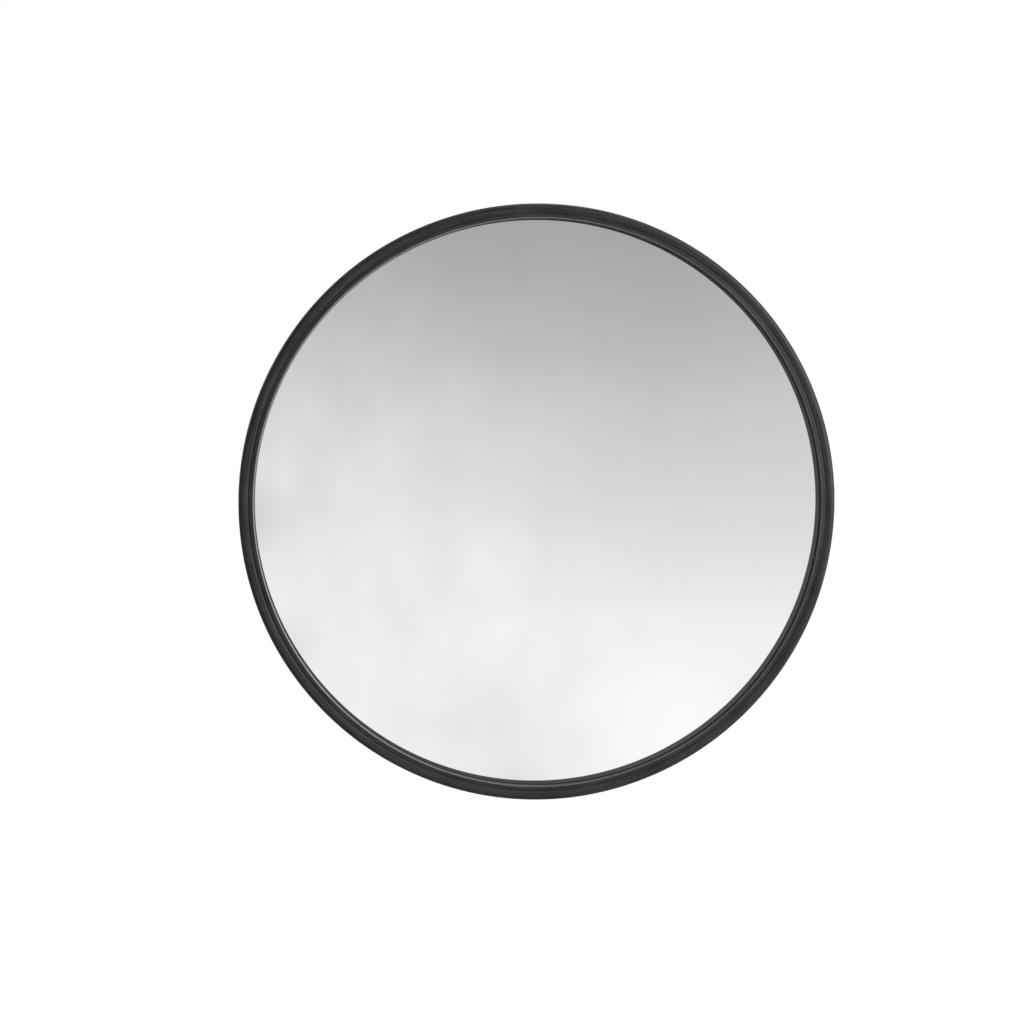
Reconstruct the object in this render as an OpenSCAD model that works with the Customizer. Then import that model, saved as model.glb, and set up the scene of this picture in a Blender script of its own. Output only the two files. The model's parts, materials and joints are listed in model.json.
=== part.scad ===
// Convex security mirror on a two-axis wall bracket.
// The origin is the middle of the wall plate's back face, +Z is up and +Y points into
// the wall, so the mirror faces -Y. All sizes are in millimetres.

/* [Mirror] */
// Diameter of the acrylic disc inside the trim
mirror_d = 450; // [400:5:500]
// Rise of the dome above its flat rim
dome_rise = 48; // [40:1:56]
// Thickness of the acrylic sheet
acrylic_t = 3; // [2:0.5:4]
// Width of the flat rim that the trim grips
rim_w = 5.4; // [5.2:0.1:6]
// Radius of the bend between the dome and its rim
rim_bend_r = 4; // [3:0.5:4]
// Thickness of the hardboard back
board_t = 3.2; // [3:0.1:5]

/* [Edge trim] */
// Thickness of the trim's side wall
trim_wall = 3.5; // [3:0.1:4]
// Thickness of the trim's lips
lip_t = 2.4; // [2:0.1:3]
// Width of the front lip, from the trim's outside
front_lip_w = 9.9; // [9.6:0.1:10.5]
// Width of the back lip, from the trim's outside
back_lip_w = 12; // [10:0.5:14]
// Radius of the beads along the trim's outer edges
bead_r = 3.5; // [3.2:0.1:3.8]

/* [Bracket] */
// Distance between the two pivots
arm_len = 140; // [120:5:200]
// Width of the square arm tube
tube_w = 20; // [18:1:22]
// Wall of the arm tube
tube_t = 1.5; // [1:0.25:2]
// Height of each pivot above its yoke's foot
yoke_reach = 37; // [35:1:45]
// Width of the yokes
yoke_w = 36; // [30:1:40]
// Thickness of the yoke steel
yoke_t = 3; // [2.5:0.5:4]
// Width of the wall plate
wall_plate_w = 70; // [65:1:80]
// Height of the wall plate
wall_plate_h = 140; // [135:1:160]
// Thickness of the wall plate
wall_plate_t = 3; // [2.5:0.5:4]
// Width of the plate on the mirror's back
head_plate_w = 100; // [95:1:120]
// Height of the plate on the mirror's back
head_plate_h = 74; // [70:1:90]
// Thickness of the plate on the mirror's back
head_plate_t = 2.5; // [2:0.5:4]

/* [Fasteners] */
// Diameter of the pivot bolts
bolt_d = 8; // [8:1:8]
// Length of the pivot bolts under the head
bolt_len = 50; // [49:1:52]
// Diameter of the screw holes in the wall plate
wall_hole_d = 6.5; // [5:0.5:7]
// Spacing of the wall holes across the plate
wall_hole_x = 48; // [46:1:50]
// Spacing of the wall holes up the plate
wall_hole_z = 116; // [110:1:118]
// Spacing of the back studs across
stud_x = 76; // [70:1:78]
// Spacing of the back studs up
stud_z = 50; // [46:1:52]

/* [Hidden] */
$fn = 128;

// Small gaps
slip = 0.08;      // running clearance of a pivot bolt in its bush
ease = 0.1;       // play at each side of a pivot, and of the disc inside its trim
lap = 0.05;       // how far the bands of the acrylic section run into one another
over = 1;         // how far a cut runs past the face it starts from

// Mirror head, measured forward from the board's back face
rim_front = board_t + acrylic_t;
dome_foot_r = mirror_d / 2 - rim_w;
dome_r = (dome_foot_r * dome_foot_r + dome_rise * dome_rise) / (2 * dome_rise);
dome_centre = rim_front + dome_rise - dome_r;
bend_centre = rim_front + rim_bend_r;
bend_x = sqrt(pow(dome_r + rim_bend_r, 2) - pow(bend_centre - dome_centre, 2));
trim_r = mirror_d / 2 + trim_wall;
lip_edge_r = 0.5;     // rounding of the front lip's inner edge
lip_lift = 0.25;      // how far that edge rises above the rest of the lip
bead_rise = 1;        // how far a bead stands above its lip
dome_gap = 0.65;      // opening of the trim's channel for the foot of the dome

// Pivot stack, measured from the middle of the joint along its axis
friction_t = 1.5;
friction_r = 11;
ear_in = tube_w / 2 + friction_t + ease;
ear_out = ear_in + yoke_t;
washer_t = 1.6;
washer_clear = 0.2;
lock_t = 2;
lock_r = 7.4;
split_w = 1.2;
split_angle = 25;
knob_base = ear_out + washer_t + lock_t;
knob_h = 16;
knob_r = 20;
lobes = 5;
dip_r = 8;            // hollows between the lobes
dip_centre = 22.6;
crown_r = 46;
hub_r = 11;
hub_taper = 1.5;
hub_h = 5;
insert_r = 6;
bush_r = 6;
head_r = 10;
head_h = 4.6;
bolt_end = 1;         // length of the chamfer at a pivot bolt's end

// Arm
tube_over = 14;   // tube beyond each pivot
tube_corner_r = 2.5;
plug_depth = 6;
plug_cap = 3.2;
plug_crown_r = 24;

// Studs
stud_d = 5;
stud_len = 16;
stud_end = 0.5;       // length of the chamfer at a stud's end
stud_head_r = 5.75;
stud_head_h = 2.8;
stud_plate_t = 1.5;
stud_plate_in = 2;    // how far the inner plate's edge lies inside the outer plate's
stud_washer_t = 1;
nut_h = 5;
nut_flats = 8;
nut_corners = nut_flats / cos(30);
nut_hex_h = 3.7;
nut_chamfer_d = nut_flats + 0.7;
nut_collar_d = 7.2;
stud_clear = 0.5;     // how much wider a stud's hole is than the stud
plate_corner_r = 8;

// Where the assembly stands
pan_y = wall_plate_t + yoke_reach;
tilt_y = pan_y + arm_len;
head_y = tilt_y + yoke_reach + head_plate_t;

black_steel = [0.1, 0.1, 0.105];
black_rubber = [0.06, 0.06, 0.065];
black_plastic = [0.05, 0.05, 0.055];
mirror_grey = [0.82, 0.84, 0.86];
hardboard = [0.33, 0.21, 0.13];
zinc = [0.75, 0.75, 0.73];
spring_steel = [0.7, 0.7, 0.68];
brass = [0.72, 0.58, 0.3];
nylon = [0.9, 0.89, 0.85];

// ---- placing ----

// From the mirror's axis, with z forward from the board's back, to the frame
module in_head() { translate([0, -head_y, 0]) rotate([90, 0, 0]) children(); }

// From a pivot's axis, with z from the middle of the joint to its knob, to the frame
module at_tilt() { translate([0, -tilt_y, 0]) rotate([0, 90, 0]) children(); }
module at_pan() { translate([0, -pan_y, 0]) rotate([180, 0, 0]) children(); }

module at_corners(x, y) {
    for (sx = [-1, 1], sy = [-1, 1]) translate([sx * x / 2, sy * y / 2, 0]) children();
}

// ---- shared shapes ----

module rounded_square(w, h, r) {
    square([w - 2 * r, h], center = true);
    square([w, h - 2 * r], center = true);
    at_corners(w - 2 * r, h - 2 * r) circle(r = r);
}

module ring(outer_r, inner_r, h) {
    linear_extrude(h) difference() {
        circle(r = outer_r);
        circle(r = inner_r);
    }
}

// A cap cut from a sphere, base radius r and height h
module dome_cap(r, h) {
    sphere_r = (r * r + h * h) / (2 * h);
    intersection() {
        translate([0, 0, h - sphere_r]) sphere(r = sphere_r);
        cylinder(r = r, h = h);
    }
}

// ---- mirror head ----

// Half section of the acrylic sheet: dome, bend and flat rim, all one thickness
module dome_section() {
    lean = atan2(bend_x, bend_centre - dome_centre);
    along = [sin(lean), cos(lean)];
    past = lap * [cos(lean), -sin(lean)];
    centre = [0, dome_centre];
    bend = [bend_x, bend_centre];
    reach = dome_r + dome_rise;
    intersection() {
        translate(centre) difference() {
            circle(r = dome_r);
            circle(r = dome_r - acrylic_t);
        }
        polygon([centre, centre + past, centre + past + reach * along, centre + [0, reach]]);
    }
    intersection() {
        translate(bend) difference() {
            circle(r = rim_bend_r + acrylic_t);
            circle(r = rim_bend_r);
        }
        polygon([bend, bend - [0, dome_rise], bend - dome_rise * along]);
    }
    translate([bend_x - lap, board_t]) square([mirror_d / 2 - bend_x + lap, acrylic_t]);
}

module mirror_dome() color(mirror_grey) in_head() rotate_extrude() dome_section();

module backing_board() color(hardboard) in_head() difference() {
    cylinder(d = mirror_d, h = board_t);
    at_corners(stud_x, stud_z) translate([0, 0, -over])
        cylinder(d = stud_d + stud_clear, h = board_t + 2 * over);
}

// Half section of the trim: x is the radius and y the distance forward
module trim_section() {
    front_r = trim_r - front_lip_w;
    face = rim_front + lip_t;
    channel_r = mirror_d / 2 + ease;
    difference() {
        union() {
            // side wall and the two outer beads
            translate([mirror_d / 2 - over, 0]) square([trim_wall + over, rim_front]);
            translate([trim_r - bead_r, face + bead_rise - bead_r]) circle(r = bead_r);
            translate([trim_r - bead_r, bead_r - lip_t - bead_rise]) circle(r = bead_r);
            // front lip with its rounded inner edge
            polygon([[front_r, rim_front], [trim_r - bead_r, rim_front], [trim_r - bead_r, face - 0.1],
                     [front_r + lip_edge_r, face + lip_lift], [front_r, face + lip_lift - lip_edge_r]]);
            translate([front_r + lip_edge_r, face + lip_lift - lip_edge_r]) circle(r = lip_edge_r);
            // back lip
            translate([trim_r - back_lip_w, -lip_t]) square([back_lip_w - bead_r, lip_t]);
            translate([trim_r - back_lip_w, -lip_t / 2]) circle(r = lip_t / 2);
        }
        // the channel that grips the rim and the board, opened for the foot of the dome
        polygon([[0, 0], [channel_r, 0], [channel_r, rim_front], [bend_x + 0.4, rim_front],
                 [front_r - 0.2, rim_front + dome_gap], [0, rim_front + dome_gap]]);
    }
}

module edge_trim() color(black_rubber) in_head() rotate_extrude($fn = 256) trim_section();

// Plate inside the head that carries the studs
module stud_plate() color(zinc) in_head() translate([0, 0, board_t])
    linear_extrude(stud_plate_t) difference() {
        rounded_square(head_plate_w - 2 * stud_plate_in, head_plate_h - 2 * stud_plate_in,
                       plate_corner_r - stud_plate_in);
        at_corners(stud_x, stud_z) square(stud_d + 0.2, center = true);
    }

module stud_bolts() color(zinc) in_head()
    at_corners(stud_x, stud_z) translate([0, 0, board_t + stud_plate_t]) {
        dome_cap(stud_head_r, stud_head_h);
        translate([0, 0, -stud_plate_t / 2]) cube([stud_d, stud_d, stud_plate_t], center = true);
        translate([0, 0, -stud_len + stud_end]) cylinder(d = stud_d, h = stud_len - stud_end);
        translate([0, 0, -stud_len]) cylinder(d1 = stud_d - 2 * stud_end, d2 = stud_d, h = stud_end);
    }

module head_plate() color(black_steel) in_head() translate([0, 0, -head_plate_t])
    linear_extrude(head_plate_t) difference() {
        rounded_square(head_plate_w, head_plate_h, plate_corner_r);
        at_corners(stud_x, stud_z) circle(d = stud_d + stud_clear);
    }

module stud_washers() color(zinc) in_head()
    at_corners(stud_x, stud_z) translate([0, 0, -head_plate_t - stud_washer_t])
        ring(stud_d, stud_d / 2 + 0.15, stud_washer_t);

// Hexagon lock nuts with a round collar for the nylon insert
module stud_nuts() color(zinc) in_head()
    at_corners(stud_x, stud_z) translate([0, 0, -head_plate_t - stud_washer_t]) rotate([180, 0, 0])
        difference() {
            union() {
                intersection() {
                    cylinder(d = nut_corners, h = nut_hex_h, $fn = 6);
                    cylinder(d1 = nut_chamfer_d, d2 = nut_chamfer_d + 2 * nut_hex_h, h = nut_hex_h);
                    cylinder(d1 = nut_chamfer_d + 2 * nut_hex_h, d2 = nut_chamfer_d, h = nut_hex_h);
                }
                cylinder(d = nut_collar_d, h = nut_h);
            }
            translate([0, 0, -over]) cylinder(d = stud_d + 0.04, h = nut_h + 2 * over);
        }

// ---- yokes ----

// Bent strap, drawn with its foot on z = 0, its ears across x and its pivot at z = yoke_reach
module yoke() {
    bend_r = 3;
    ear_top = yoke_reach + yoke_w;
    difference() {
        intersection() {
            // U section, with rounded bends
            translate([0, yoke_w / 2, 0]) rotate([90, 0, 0]) linear_extrude(yoke_w) difference() {
                union() {
                    translate([-ear_out, bend_r + yoke_t]) square([2 * ear_out, ear_top]);
                    translate([-ear_out + bend_r + yoke_t, 0])
                        square([2 * (ear_out - bend_r - yoke_t), bend_r + yoke_t + over]);
                    for (s = [-1, 1])
                        translate([s * (ear_in - bend_r), bend_r + yoke_t]) circle(r = bend_r + yoke_t);
                }
                translate([-ear_in, bend_r + yoke_t]) square([2 * ear_in, ear_top + over]);
                translate([-ear_in + bend_r, yoke_t]) square([2 * (ear_in - bend_r), bend_r + over]);
                for (s = [-1, 1])
                    translate([s * (ear_in - bend_r), bend_r + yoke_t]) circle(r = bend_r);
            }
            // outline of the ears, round about the pivot
            translate([-ear_out - over, 0, 0]) rotate([90, 0, 90])
                linear_extrude(2 * (ear_out + over)) union() {
                    translate([-yoke_w / 2, 0]) square([yoke_w, yoke_reach]);
                    translate([0, yoke_reach]) circle(d = yoke_w);
                }
        }
        // round hole on the knob's side and square hole for the neck of the bolt
        translate([0, 0, yoke_reach]) rotate([0, 90, 0]) cylinder(d = bolt_d + 0.6, h = ear_out + over);
        translate([-ear_out / 2 - over, 0, yoke_reach])
            cube([ear_out + 2 * over, bolt_d + 0.2, bolt_d + 0.2], center = true);
    }
}

module head_yoke() color(black_steel)
    translate([0, head_plate_t - head_y, 0]) rotate([-90, 0, 0]) yoke();

module wall_yoke() color(black_steel)
    translate([0, -wall_plate_t, 0]) rotate([90, 0, 0]) rotate([0, 0, -90]) yoke();

module wall_plate() color(black_steel) rotate([90, 0, 0])
    linear_extrude(wall_plate_t) difference() {
        rounded_square(wall_plate_w, wall_plate_h, plate_corner_r);
        at_corners(wall_hole_x, wall_hole_z) circle(d = wall_hole_d);
    }

// ---- pivot hardware, along z from the middle of the joint to the knob ----

// Carriage bolt: domed head, square neck and plain shank with a chamfered end
module pivot_bolt() {
    shank = bolt_len - ear_out;
    rotate([180, 0, 0]) translate([0, 0, ear_out]) dome_cap(head_r, head_h);
    translate([0, 0, -ear_out + yoke_t / 2]) cube([bolt_d, bolt_d, yoke_t], center = true);
    translate([0, 0, -ear_out]) cylinder(d = bolt_d, h = bolt_len - bolt_end);
    translate([0, 0, shank - bolt_end]) cylinder(d1 = bolt_d, d2 = bolt_d - 1.6, h = bolt_end);
}

module pivot_washer() translate([0, 0, ear_out]) ring(bolt_d, bolt_d / 2 + washer_clear, washer_t);

// Split spring washer
module pivot_lock_washer() translate([0, 0, ear_out + washer_t]) difference() {
    ring(lock_r, bolt_d / 2 + washer_clear / 2, lock_t);
    // the slanted split
    rotate([0, split_angle, 0]) translate([0, lock_r / 2 + over, 0])
        cube([split_w, lock_r + 2 * over, 8 * lock_t], center = true);
}

// Threaded metal insert of the knob
module knob_insert() translate([0, 0, knob_base]) ring(insert_r, bolt_d / 2 + 0.05, knob_h);

// Five-lobed hand knob on a short hub
module pivot_knob() translate([0, 0, knob_base]) difference() {
    union() {
        cylinder(r1 = hub_r - hub_taper, r2 = hub_r, h = hub_h + 0.5);
        intersection() {
            translate([0, 0, hub_h]) linear_extrude(knob_h - hub_h) difference() {
                circle(r = knob_r);
                for (i = [0:lobes - 1]) rotate((i + 0.5) * 360 / lobes)
                    translate([dip_centre, 0]) circle(r = dip_r);
            }
            // crowned top and chamfered lower edge
            translate([0, 0, knob_h - crown_r]) sphere(r = crown_r);
            translate([0, 0, hub_h]) cylinder(r1 = knob_r - 1, r2 = knob_r - 1 + knob_h, h = knob_h);
        }
    }
    translate([0, 0, -over]) cylinder(r = insert_r + 0.02, h = knob_h + 2 * over);
}

module pivot_bush() translate([0, 0, -tube_w / 2]) ring(bush_r, bolt_d / 2 + slip, tube_w);

module pivot_friction_washers() {
    for (z = [-tube_w / 2 - friction_t, tube_w / 2]) translate([0, 0, z])
        ring(friction_r, bolt_d / 2 + washer_clear, friction_t);
}

module tilt_bolt() color(zinc) at_tilt() pivot_bolt();
module tilt_washer() color(zinc) at_tilt() pivot_washer();
module tilt_lock_washer() color(spring_steel) at_tilt() pivot_lock_washer();
module tilt_knob() color(black_plastic) at_tilt() pivot_knob();
module tilt_knob_insert() color(brass) at_tilt() knob_insert();
module tilt_bush() color(nylon) at_tilt() pivot_bush();
module tilt_friction_washers() color(nylon) at_tilt() pivot_friction_washers();

module pan_bolt() color(zinc) at_pan() pivot_bolt();
module pan_washer() color(zinc) at_pan() pivot_washer();
module pan_lock_washer() color(spring_steel) at_pan() pivot_lock_washer();
module pan_knob() color(black_plastic) at_pan() pivot_knob();
module pan_knob_insert() color(brass) at_pan() knob_insert();
module pan_bush() color(nylon) at_pan() pivot_bush();
module pan_friction_washers() color(nylon) at_pan() pivot_friction_washers();

// ---- arm ----

module arm_tube() color(black_steel) difference() {
    translate([0, tube_over - pan_y, 0]) rotate([90, 0, 0])
        linear_extrude(arm_len + 2 * tube_over) difference() {
            rounded_square(tube_w, tube_w, tube_corner_r);
            rounded_square(tube_w - 2 * tube_t, tube_w - 2 * tube_t, tube_corner_r - tube_t);
        }
    at_tilt() translate([0, 0, -tube_w]) cylinder(r = bush_r, h = 2 * tube_w);
    at_pan() translate([0, 0, -tube_w]) cylinder(r = bush_r, h = 2 * tube_w);
}

// End plug, drawn with its cap on z = 0 and its body down inside the tube
module tube_plug() {
    inner = tube_w - 2 * tube_t;
    intersection() {
        linear_extrude(plug_cap) rounded_square(tube_w, tube_w, tube_corner_r);
        translate([0, 0, plug_cap - plug_crown_r]) sphere(r = plug_crown_r);
    }
    translate([0, 0, -plug_depth]) linear_extrude(plug_depth)
        rounded_square(inner, inner, tube_corner_r - tube_t);
}

module arm_front_plug() color(black_plastic)
    translate([0, -tilt_y - tube_over, 0]) rotate([90, 0, 0]) tube_plug();

module arm_rear_plug() color(black_plastic)
    translate([0, tube_over - pan_y, 0]) rotate([-90, 0, 0]) tube_plug();

// ---- drawing ----

mirror_dome();
backing_board();
edge_trim();
stud_plate();
stud_bolts();
head_plate();
stud_washers();
stud_nuts();
head_yoke();
tilt_bolt();
tilt_washer();
tilt_lock_washer();
tilt_knob();
tilt_knob_insert();
arm_tube();
arm_front_plug();
arm_rear_plug();
tilt_bush();
tilt_friction_washers();
pan_bush();
pan_friction_washers();
wall_plate();
wall_yoke();
pan_bolt();
pan_washer();
pan_lock_washer();
pan_knob();
pan_knob_insert();
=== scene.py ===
# Looks of a convex security mirror on its wall bracket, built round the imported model.
# Lengths are in metres. +Z is up, +Y points into the wall and the mirror faces -Y.
import json
import math

import bmesh
import bpy
from mathutils import Matrix, Vector, noise


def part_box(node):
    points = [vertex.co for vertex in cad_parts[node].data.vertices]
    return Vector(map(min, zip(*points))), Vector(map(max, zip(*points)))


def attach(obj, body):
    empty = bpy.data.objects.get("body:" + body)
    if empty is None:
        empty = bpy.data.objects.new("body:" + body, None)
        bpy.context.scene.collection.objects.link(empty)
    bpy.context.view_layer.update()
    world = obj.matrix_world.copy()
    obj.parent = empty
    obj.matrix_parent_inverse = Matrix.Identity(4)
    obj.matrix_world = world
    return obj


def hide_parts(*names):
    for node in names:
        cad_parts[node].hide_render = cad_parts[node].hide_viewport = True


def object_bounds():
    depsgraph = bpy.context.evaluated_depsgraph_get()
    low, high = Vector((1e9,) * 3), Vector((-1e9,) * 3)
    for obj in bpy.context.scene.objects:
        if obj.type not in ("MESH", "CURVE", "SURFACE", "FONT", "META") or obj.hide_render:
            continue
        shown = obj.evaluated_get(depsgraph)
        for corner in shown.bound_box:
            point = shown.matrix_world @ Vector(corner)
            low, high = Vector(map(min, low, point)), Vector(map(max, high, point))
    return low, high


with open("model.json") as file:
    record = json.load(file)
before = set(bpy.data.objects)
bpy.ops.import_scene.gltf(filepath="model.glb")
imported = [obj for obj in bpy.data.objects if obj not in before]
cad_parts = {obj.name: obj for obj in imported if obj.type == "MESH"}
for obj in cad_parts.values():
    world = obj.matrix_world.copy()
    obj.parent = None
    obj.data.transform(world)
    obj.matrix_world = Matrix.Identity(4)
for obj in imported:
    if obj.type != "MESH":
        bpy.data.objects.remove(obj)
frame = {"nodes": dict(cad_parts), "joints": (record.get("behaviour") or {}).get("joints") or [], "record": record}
cad_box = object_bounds()

MM = 0.001

# Mirror face: radii from its axis and heights forward of the board's back face
ACRYLIC_T = 3 * MM
ACRYLIC_EDGE = 0.3 * MM    # chamfer of its cut edge
RIM_W = 5.4 * MM           # flat rim that the trim grips
RIM_BEND_R = 4 * MM        # bend between the dome and its rim
PAINTED_REFLECTION_R = 214.5 * MM      # where the silver ends and the painted reflection of the trim's lip begins
PAINTED_REFLECTION_SHIFT = 1.35 * MM   # how far that edge sits off centre, to the left and up, as the lip's reflection falls
HEAD_COLUMNS = 288

# Edge trim
LIP_T = 2.4 * MM
LIP_LIFT = 0.5 * MM        # how far the lip rises towards its inner edge
LIP_EDGE_R = 0.65 * MM
LIP_FOOT = 0.7 * MM        # how far the lip's foot reaches in over the dome
LIP_SLANT = 24             # slope of that foot in degrees, like the dome's under it
LIP_GAP = 0.12 * MM        # between the foot and the dome
LIP_BACK = 7.5 * MM        # what is in front of this height sags and shifts with the lip
LIP_SHIFT = 0.6 * MM       # how far the lip's edge sits off centre, to the right
FRONT_LIP_W = 11 * MM
BACK_LIP_W = 12 * MM
CREASE_IN = 1.05           # from the front bead's middle in to the crease, in bead radii
CREASE_DEPTH = 0.3 * MM    # under the lip's face
BEAD_R = 3.5 * MM
BEAD_RISE = 0.45 * MM      # of the front bead over the lip's face
BACK_BEAD_RISE = 1 * MM    # of the back bead behind the back lip
TRIM_PLAY = 0.1 * MM       # round the mirror's edge
SAG = 0.12 * MM            # unevenness of the extrusion

# Bracket steel
STEEL_EDGE = 0.5 * MM      # rounding of cut edges
EDGE_BAND = 0.9 * MM       # row of faces along those edges
YOKE_T = 3 * MM
YOKE_BEND_R = 3 * MM
BOLT_PLAY = 0.3 * MM       # round the bolt's shank in the yoke
NECK_PLAY = 0.1 * MM       # round the bolt's square neck
NECK_CORNER = 0.4 * MM     # corner radius of the yoke's square hole
PLATE_CORNER_R = 8 * MM
HOLE_COLUMNS = 48
WELD_R = 1.9 * MM
WELD_RIPPLE = 1.7 * MM     # length of one scallop of the weld

# M8 pivot hardware and M5 studs
PIVOT_R = 4 * MM
PIVOT_PITCH = 1.25 * MM
PIVOT_THREAD = 22 * MM     # length of its thread
BOLT_COLUMNS = 64
FRICTION_T = 1.5 * MM      # thickness of a friction washer
STUD_R = 2.5 * MM
STUD_PITCH = 0.8 * MM
STUD_COLUMNS = 48
STUD_WASHER_R = STUD_R * 2
NUT_FLATS = 8 * MM
NUT_COLUMNS = 72
THREAD_PHASES = (0, 0.25, 0.5625, 0.6875)   # root begins and ends, crest begins and ends, in pitches
THREAD_DEPTH = 0.6134                       # in pitches
KNOB_LOBES = 5
KNOB_DIP_R = 8 * MM        # of the finger dips between the lobes
KNOB_CROWN_R = 46 * MM

joint_at = {j["name"]: Vector(j["pos_m"]) for j in frame["joints"] if "pos_m" in j}
board_low, board_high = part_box("backing_board")
dome_low, dome_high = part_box("mirror_dome")
trim_low, trim_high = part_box("edge_trim")
MIRROR_R = dome_high.x
TRIM_R = trim_high.x

# Axes of their own for the head, forward along z, and for each pivot, with z towards its knob
HEAD = Matrix.Translation((0, board_high.y, 0)) @ Matrix.Rotation(math.radians(90), 4, "X")
TILT = Matrix.Translation(joint_at["head_tilt"]) @ Matrix.Rotation(math.radians(90), 4, "Y")
PAN = Matrix.Translation(joint_at["arm_pan"]) @ Matrix.Rotation(math.radians(180), 4, "X")

# Axes for the wall plate and for the yokes, with z away from the face that each stands on
plate_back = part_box("head_plate")[1].y
wall_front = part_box("wall_plate")[0].y
WALL = Matrix.Rotation(math.radians(90), 4, "X")
WALL_YOKE = Matrix.Translation((0, wall_front, 0)) @ WALL @ Matrix.Rotation(math.radians(-90), 4, "Z")
HEAD_YOKE = Matrix.Translation((0, plate_back, 0)) @ Matrix.Rotation(math.radians(-90), 4, "X")


# ---- shapes ----

def local_box(node, place):
    """Lowest and highest corner of a CAD node in the axes of place."""
    corners = [place.inverted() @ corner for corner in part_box(node)]
    return Vector(map(min, *corners)), Vector(map(max, *corners))


def arc(x, y, radius, start, end, steps):
    """Points of an arc about (x, y), from one angle to another in degrees."""
    angles = [math.radians(start + (end - start) * i / steps) for i in range(steps + 1)]
    return [(x + radius * math.cos(a), y + radius * math.sin(a)) for a in angles]


def rounded(corners, steps):
    """Closed outline through corners given as (x, y, radius), each rounded by its radius."""
    points = []
    for i, (x, y, radius) in enumerate(corners):
        here = Vector((x, y))
        back = (Vector(corners[i - 1][:2]) - here).normalized()
        ahead = (Vector(corners[(i + 1) % len(corners)][:2]) - here).normalized()
        half = back.angle(ahead) / 2
        centre = here + (back + ahead).normalized() * radius / math.sin(half)
        start = here + back * radius / math.tan(half) - centre
        end = here + ahead * radius / math.tan(half) - centre
        sweep = start.angle_signed(end)
        for k in range(steps + 1):
            turned_by = Matrix.Rotation(-sweep * k / steps, 2)
            points.append(tuple(centre + turned_by @ start))
    return points


def ring(bm, columns, point):
    """Ring of vertices about z. point is (radius, z), or a function that gives them for an angle."""
    if not callable(point) and point[0] == 0:
        return [bm.verts.new((0, 0, point[1]))] * columns
    verts = []
    for j in range(columns):
        angle = math.tau * j / columns
        radius, z = point(angle) if callable(point) else point
        verts.append(bm.verts.new((radius * math.cos(angle), radius * math.sin(angle), z)))
    return verts


def skin(bm, rings, closed=False, slot=0):
    """Joins each ring to the next with faces, and the last to the first if closed."""
    following = rings[1:] + rings[:1] if closed else rings[1:]
    for low, high in zip(rings, following):
        for j in range(len(low)):
            k = (j + 1) % len(low)
            corners = list(dict.fromkeys((low[j], low[k], high[k], high[j])))
            if len(corners) > 2:
                bm.faces.new(corners).material_index = slot


def loft(bm, rows):
    """Joins each row to the next and closes both ends."""
    skin(bm, rows)
    bm.faces.new(rows[0])
    bm.faces.new(rows[-1])


def lathe(points, columns):
    """Solid turned about z from a closed outline of (radius, z) points."""
    bm = bmesh.new()
    skin(bm, [ring(bm, columns, point) for point in points], closed=True)
    return bm


def ring_section(inner, outer, low, high, bore_edge, edge):
    """Section of a flat ring, its edges rounded by one radius in the bore and another outside."""
    corners = [(inner, low, bore_edge), (outer, low, edge), (outer, high, edge), (inner, high, bore_edge)]
    return rounded(corners, 3)


def washer(outer, inner, low, high, edge=0.25 * MM, columns=64):
    """Flat ring with rounded edges."""
    return lathe(ring_section(inner, outer, low, high, edge, edge), columns)


def thread(bm, low, high, radius, pitch, columns, chamfer):
    """Right-hand thread from z = low, where it runs out into the shank, to a chamfered end at high."""
    grid = []
    turns = math.ceil((high - low) / pitch) + 3
    for k in range(turns * len(THREAD_PHASES)):
        whole, phase = divmod(k, len(THREAD_PHASES))
        cut = THREAD_DEPTH * pitch if phase < 2 else 0
        row = []
        for j in range(columns):
            z = low + pitch * (whole - 1 + THREAD_PHASES[phase] + j / columns)
            z = min(max(z, low), high)
            run_out = min((z - low) / pitch, 1)
            r = min(radius - cut * run_out, radius - chamfer + high - z)
            angle = math.tau * j / columns
            row.append(bm.verts.new((r * math.cos(angle), r * math.sin(angle), z)))
        grid.append(row)
    for k in range(len(grid) - 1):
        for j in range(columns):
            last = j + 1 == columns
            up = len(THREAD_PHASES) if last else 0
            beside = 0 if last else j + 1
            if k + 1 + up < len(grid):
                beyond = (grid[k + up][beside], grid[k + 1 + up][beside])
                bm.faces.new((grid[k][j], *beyond, grid[k + 1][j]))
    skin(bm, [ring(bm, columns, (radius - chamfer, high)), ring(bm, columns, (0, high))])


def circle_loop(x, y, radius):
    """Points of a hole's circle."""
    return arc(x, y, radius, 0, 360, HOLE_COLUMNS)[:-1]


def rounded_rectangle(x, y, width, height, radius, steps=10):
    """Points of a rectangle with rounded corners, about (x, y)."""
    signs = ((-1, -1), (1, -1), (1, 1), (-1, 1))
    return rounded([(x + sx * width / 2, y + sy * height / 2, radius) for sx, sy in signs], steps)


def plate(loops, thickness):
    """Plate on z = 0 with rounded edges. loops(inset) gives its outline and then its holes."""
    bm = bmesh.new()
    steps = 3
    angles = [math.pi / 2 * i / steps for i in range(steps + 1)]
    levels = [(STEEL_EDGE + EDGE_BAND, 0)]
    levels += [(STEEL_EDGE * (1 - math.sin(a)), STEEL_EDGE * (1 - math.cos(a))) for a in angles]
    levels += [(inset, thickness - z) for inset, z in reversed(levels)]
    stacks = []
    for inset, z in levels:
        stacks.append([[bm.verts.new((x, y, z)) for x, y in loop] for loop in loops(inset)])
    for walls in zip(*stacks):
        skin(bm, walls)
    for face_loops in (stacks[0], stacks[-1]):
        edges = []
        for loop in face_loops:
            edges += [bm.edges.get((loop[j - 1], loop[j])) for j in range(len(loop))]
        bmesh.ops.triangle_fill(bm, use_beauty=True, edges=edges)
    return bm


def new_mesh(name, bm):
    """Mesh of what bm holds. bm is freed."""
    mesh = bpy.data.meshes.new(name)
    bm.to_mesh(mesh)
    bm.free()
    return mesh


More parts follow.
